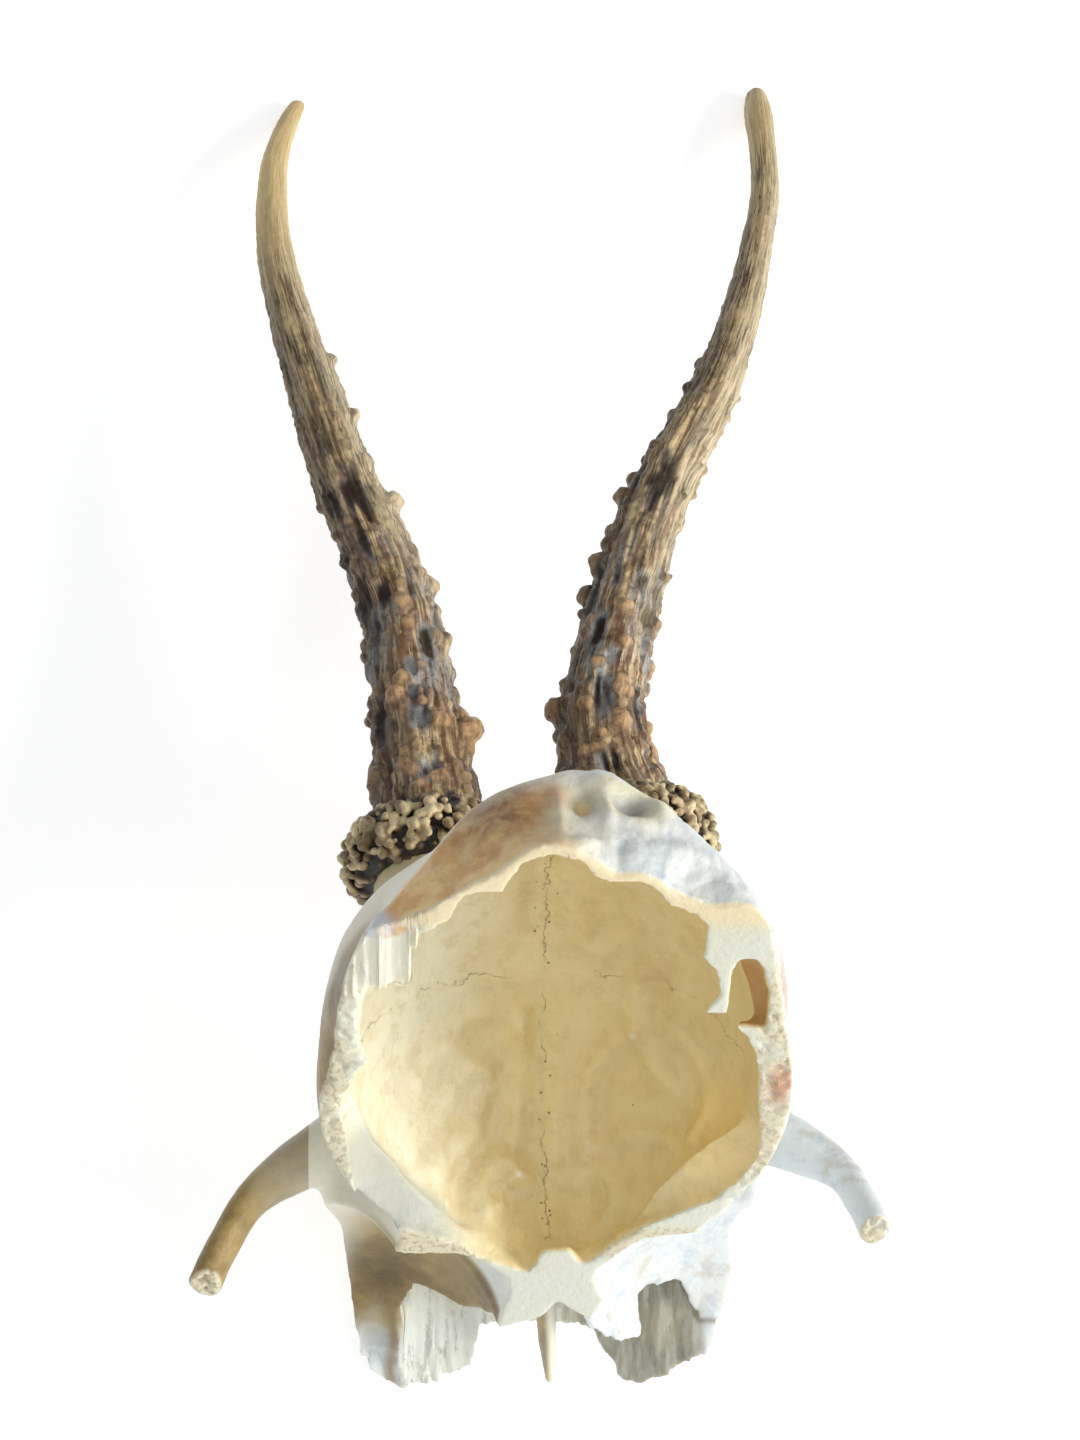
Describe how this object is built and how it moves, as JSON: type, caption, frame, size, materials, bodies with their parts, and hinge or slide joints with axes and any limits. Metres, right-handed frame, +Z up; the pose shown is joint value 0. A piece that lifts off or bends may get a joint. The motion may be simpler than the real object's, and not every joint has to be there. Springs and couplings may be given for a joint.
{
  "type": "roe deer skull cap with antlers",
  "caption": "Sawn skull cap of a roe buck with its two pearled, untined antlers, lying on its brow and antler tips with the hollow of the braincase showing.",
  "frame": {"origin": "centre of the footprint, on the plane the skull cap rests on", "axes": "+Z up, +Y from the brow lobes to the antler tips, +X to the viewer's right when looking along +Y into the hollow"},
  "size_m": [0.0936, 0.2294, 0.1086],
  "materials": {
    "cap_bone": "dry cleaned bone, cream inside the braincase and bluish white outside",
    "cut_bone": "sawn bone, greyish white, faintly pored",
    "bar_bone": "thin bone, smooth and lightly stained, rough where it is broken",
    "pedicle_bone": "dull tan bone",
    "burr_pearl": "cream pearls over dark olive-brown pits",
    "antler_surface": "furrowed dark brown antler with worn, tan pearls and pale tips"
  },
  "bodies": {
    "root": {"occipital": "cap_bone", "ethmoid_block": "cut_bone", "nasal_spine": "bar_bone", "parietal_left": "cap_bone", "temporal_left": "cap_bone", "frontal_left": "cap_bone", "orbital_bar_left": "bar_bone", "pedicle_left": "pedicle_bone", "burr_left": "burr_pearl", "antler_left": "antler_surface", "parietal_right": "cap_bone", "temporal_right": "cap_bone", "frontal_right": "cap_bone", "orbital_bar_right": "bar_bone", "pedicle_right": "pedicle_bone", "burr_right": "burr_pearl", "antler_right": "antler_surface"}
  },
  "joints": []
}
